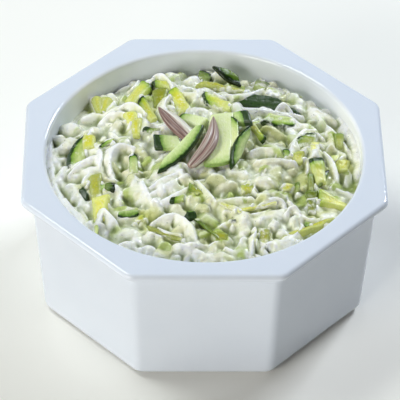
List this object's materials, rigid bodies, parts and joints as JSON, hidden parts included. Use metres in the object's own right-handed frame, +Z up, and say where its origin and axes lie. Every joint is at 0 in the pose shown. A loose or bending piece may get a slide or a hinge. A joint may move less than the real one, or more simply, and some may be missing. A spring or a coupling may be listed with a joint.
{
  "type": "tzatziki dip in an octagonal dish",
  "caption": "Cucumber and yoghurt dip heaped in a white octagonal porcelain dish, topped with cut cucumber and slivers of red onion.",
  "frame": {"origin": "centre of the dish's underside, on the surface that it stands on", "axes": "+Z up, -Y towards the front flat of the octagon, +X to the right"},
  "size_m": [0.18, 0.18, 0.0898],
  "materials": {
    "porcelain": "white glazed porcelain, glossy",
    "dip": "wet creamy yoghurt with cucumber, soft gloss",
    "cucumber": "fresh cut cucumber, pale wet flesh with dark green skin",
    "red_onion": "fresh red onion, mauve with fine lengthwise veins, satin"
  },
  "bodies": {
    "root": {"dish": "porcelain", "dip": "dip", "onion_right": "red_onion", "onion_left": "red_onion", "cucumber_front": "cucumber", "cucumber_right": "cucumber", "cucumber_top": "cucumber", "cucumber_middle": "cucumber", "cucumber_behind": "cucumber", "cucumber_left": "cucumber", "cucumber_back": "cucumber"}
  },
  "joints": []
}
